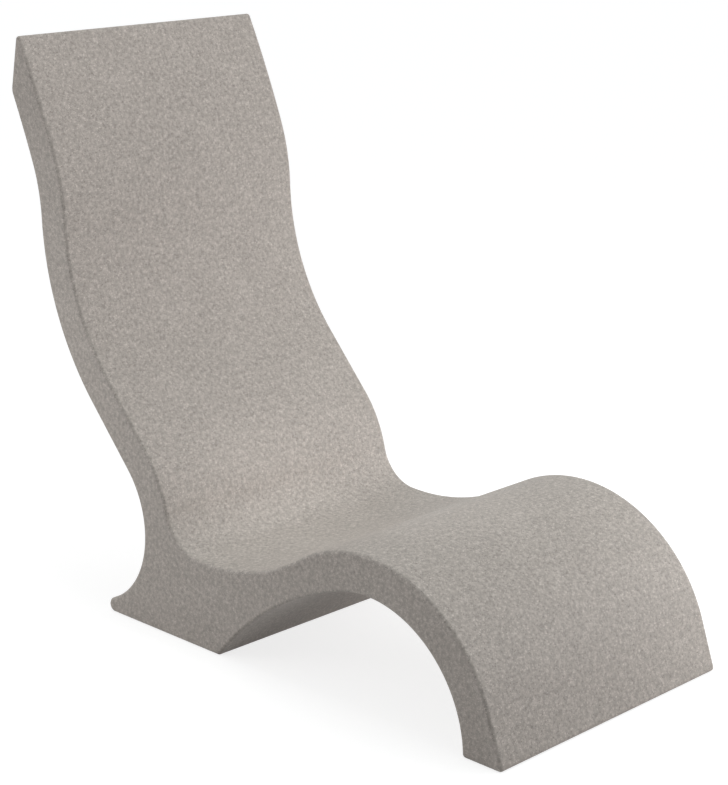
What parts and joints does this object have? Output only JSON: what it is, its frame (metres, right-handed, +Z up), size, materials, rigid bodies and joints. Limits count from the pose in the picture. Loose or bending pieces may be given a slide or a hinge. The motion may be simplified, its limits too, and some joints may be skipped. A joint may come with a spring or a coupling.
{
  "type": "in-pool sun lounger",
  "caption": "Hollow moulded chaise in one wave-shaped board with an open arch under the knee, and screw-plugged ports for its water ballast.",
  "frame": {"origin": "on the floor, under the middle of the outline", "axes": "+Z up, +Y from the front foot to the headrest, X across the seat"},
  "size_m": [0.57, 1.2182, 1.059],
  "materials": {
    "stone_plastic": "matt stone grey with fine light and dark flecks",
    "plug_plastic": "satin",
    "gasket_rubber": "matt",
    "insert_brass": "turned"
  },
  "bodies": {
    "lounger": {"lounger_body": "stone_plastic", "head_port_insert": "insert_brass", "heel_port_insert": "insert_brass", "toe_port_insert": "insert_brass"},
    "head_gasket": {"head_port_gasket": "gasket_rubber"},
    "head_plug": {"head_port_plug": "plug_plastic"},
    "heel_gasket": {"heel_port_gasket": "gasket_rubber"},
    "heel_plug": {"heel_port_plug": "plug_plastic"},
    "toe_gasket": {"toe_port_gasket": "gasket_rubber"},
    "toe_plug": {"toe_port_plug": "plug_plastic"}
  },
  "joints": [
    {"name": "head_plug_travel", "type": "slide", "parent": "lounger", "child": "head_gasket", "axis": [0, 0.9209, -0.3897], "range_m": [0, 0.0127]},
    {"name": "head_plug_turn", "type": "hinge", "parent": "head_gasket", "child": "head_plug", "pos_m": [0, 0.58074, 0.89138], "axis": [0, 0.9209, -0.3897], "range_deg": [0, 2520]},
    {"name": "heel_plug_travel", "type": "slide", "parent": "lounger", "child": "heel_gasket", "axis": [0, 0.848, 0.5299], "range_m": [0, 0.0127]},
    {"name": "heel_plug_turn", "type": "hinge", "parent": "heel_gasket", "child": "heel_plug", "pos_m": [0, 0.28762, 0.09161], "axis": [0, 0.848, 0.5299], "range_deg": [0, 2520]},
    {"name": "toe_plug_travel", "type": "slide", "parent": "lounger", "child": "toe_gasket", "axis": [0, 0.9563, -0.2924], "range_m": [0, 0.0127]},
    {"name": "toe_plug_turn", "type": "hinge", "parent": "toe_gasket", "child": "toe_plug", "pos_m": [0, -0.51549, 0.05983], "axis": [0, 0.9563, -0.2924], "range_deg": [0, 2520]}
  ],
  "couplings": [
    {"joint": "head_plug_travel", "follows": "head_plug_turn", "m_per_rad": 0.00028871},
    {"joint": "heel_plug_travel", "follows": "heel_plug_turn", "m_per_rad": 0.00028871},
    {"joint": "toe_plug_travel", "follows": "toe_plug_turn", "m_per_rad": 0.00028871}
  ]
}
